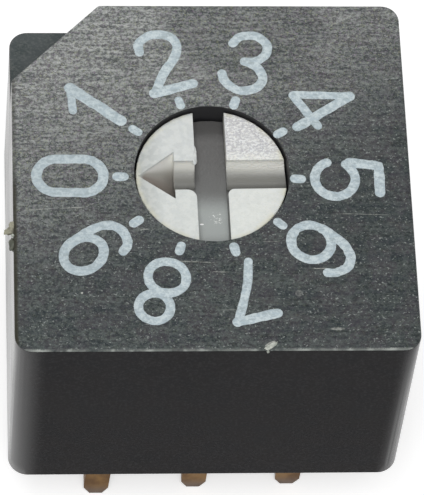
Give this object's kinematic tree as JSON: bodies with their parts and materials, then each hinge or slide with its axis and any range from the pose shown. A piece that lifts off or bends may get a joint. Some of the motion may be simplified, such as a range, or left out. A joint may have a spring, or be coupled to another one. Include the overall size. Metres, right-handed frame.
{
  "type": "rotary dip switch",
  "caption": "Miniature rotary coding switch for circuit boards: square sealed housing with a numbered dial, a screwdriver-slotted arrow rotor, binary coded contacts and two rows of pins.",
  "frame": {"origin": "centre of the seat plane under the feet, where the switch stands on its board, on the rotor's axis", "axes": "+Z out of the dial along the rotor's axis, -Y towards the front row of pins, -X towards digit 0, where the arrow rests"},
  "size_m": [0.0102, 0.0102, 0.01],
  "materials": {
    "housing_plastic": "black moulded thermoplastic with fine streaky grain on the dial face",
    "base_plastic": "black moulded thermoplastic",
    "potting_resin": "dark glossy epoxy",
    "rotor_plastic": "off-white moulded thermoplastic, dirt in the grooves",
    "dial_print": "pale printed digits and ticks",
    "terminal_metal": "tarnished bronze with greyer solder-dipped tips",
    "spring_steel": "rolled stainless strip",
    "wiper_bronze": "rolled phosphor bronze strip",
    "disc_gold": "gold flash over copper alloy",
    "seal_rubber": "black nitrile rubber"
  },
  "bodies": {
    "housing": {"housing": "housing_plastic", "base": "base_plastic", "potting_seal": "potting_resin", "detent_spring_left": "spring_steel", "detent_spring_right": "spring_steel", "terminal_1": "terminal_metal", "terminal_2": "terminal_metal", "terminal_4": "terminal_metal", "terminal_8": "terminal_metal", "terminal_c_front": "terminal_metal", "terminal_c_back": "terminal_metal", "wiper_1": "wiper_bronze", "wiper_2": "wiper_bronze", "wiper_4": "wiper_bronze", "wiper_8": "wiper_bronze", "wiper_c_front": "wiper_bronze", "wiper_c_back": "wiper_bronze"},
    "rotor": {"rotor": "rotor_plastic", "code_disc": "disc_gold", "rotor_seal": "seal_rubber"}
  },
  "joints": [
    {"name": "rotor_turn", "type": "hinge", "parent": "housing", "child": "rotor", "pos_m": [0, 0, 0.0055], "axis": [0, 0, 1], "continuous": true, "deforming": ["detent_spring_left", "detent_spring_right"]}
  ]
}
